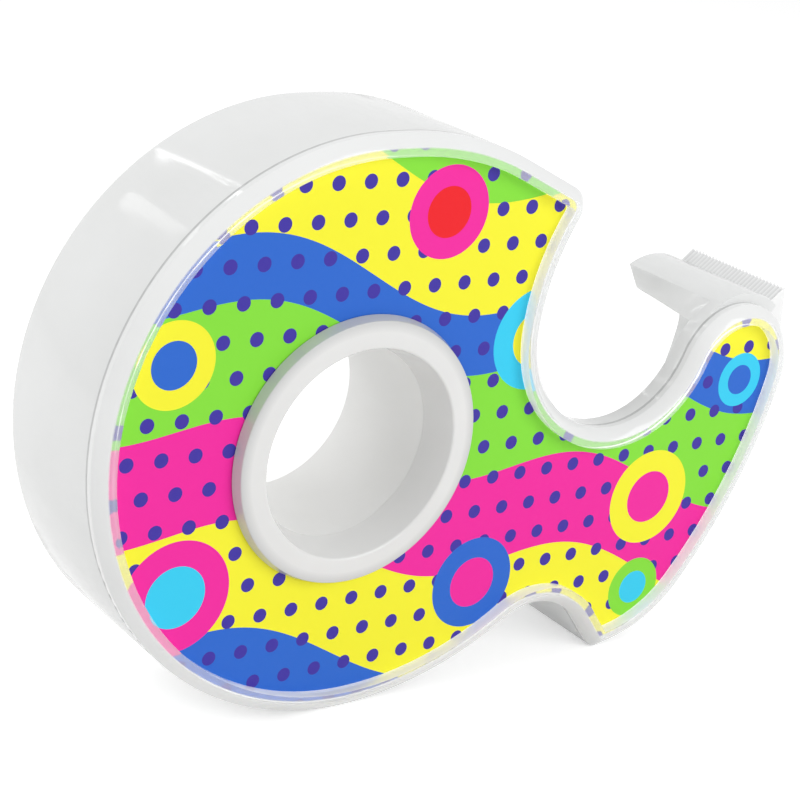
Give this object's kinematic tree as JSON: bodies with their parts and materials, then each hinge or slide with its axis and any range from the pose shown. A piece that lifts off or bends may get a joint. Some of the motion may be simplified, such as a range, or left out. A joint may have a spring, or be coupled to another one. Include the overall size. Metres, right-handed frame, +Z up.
{
  "type": "tape dispenser",
  "caption": "Snail-shaped hand tape dispenser: clear moulded case with a printed face, a white hub carrying a tape roll that turns, a tape landing and a serrated cutter on the arm.",
  "frame": {"origin": "centre of the base, midway between the drum's left side and the arm's right side, on the surface it stands on", "axes": "+X from the drum to the arm, +Y away from the labelled face, +Z up"},
  "size_m": [0.111, 0.0222, 0.0764],
  "materials": {
    "clear_cover": "clear, glossy",
    "clear_body": "frosted clear, glossy",
    "clear_cutter": "clear, glossy",
    "printed_card": "printed, satin",
    "white_hub": "satin",
    "white_core": "satin",
    "tape_film": "frosted film"
  },
  "bodies": {
    "case": {"front_cover": "clear_cover", "body_shell": "clear_body", "cutter": "clear_cutter", "label_card": "printed_card"},
    "roll": {"hub_collar": "white_hub", "tape_core": "white_core", "tape_roll": "tape_film", "outer_turn": "tape_film"}
  },
  "joints": [
    {"name": "roll_spin", "type": "hinge", "parent": "case", "child": "roll", "pos_m": [-0.0186, 0, 0.0361], "axis": [0, 1, 0], "continuous": true}
  ]
}
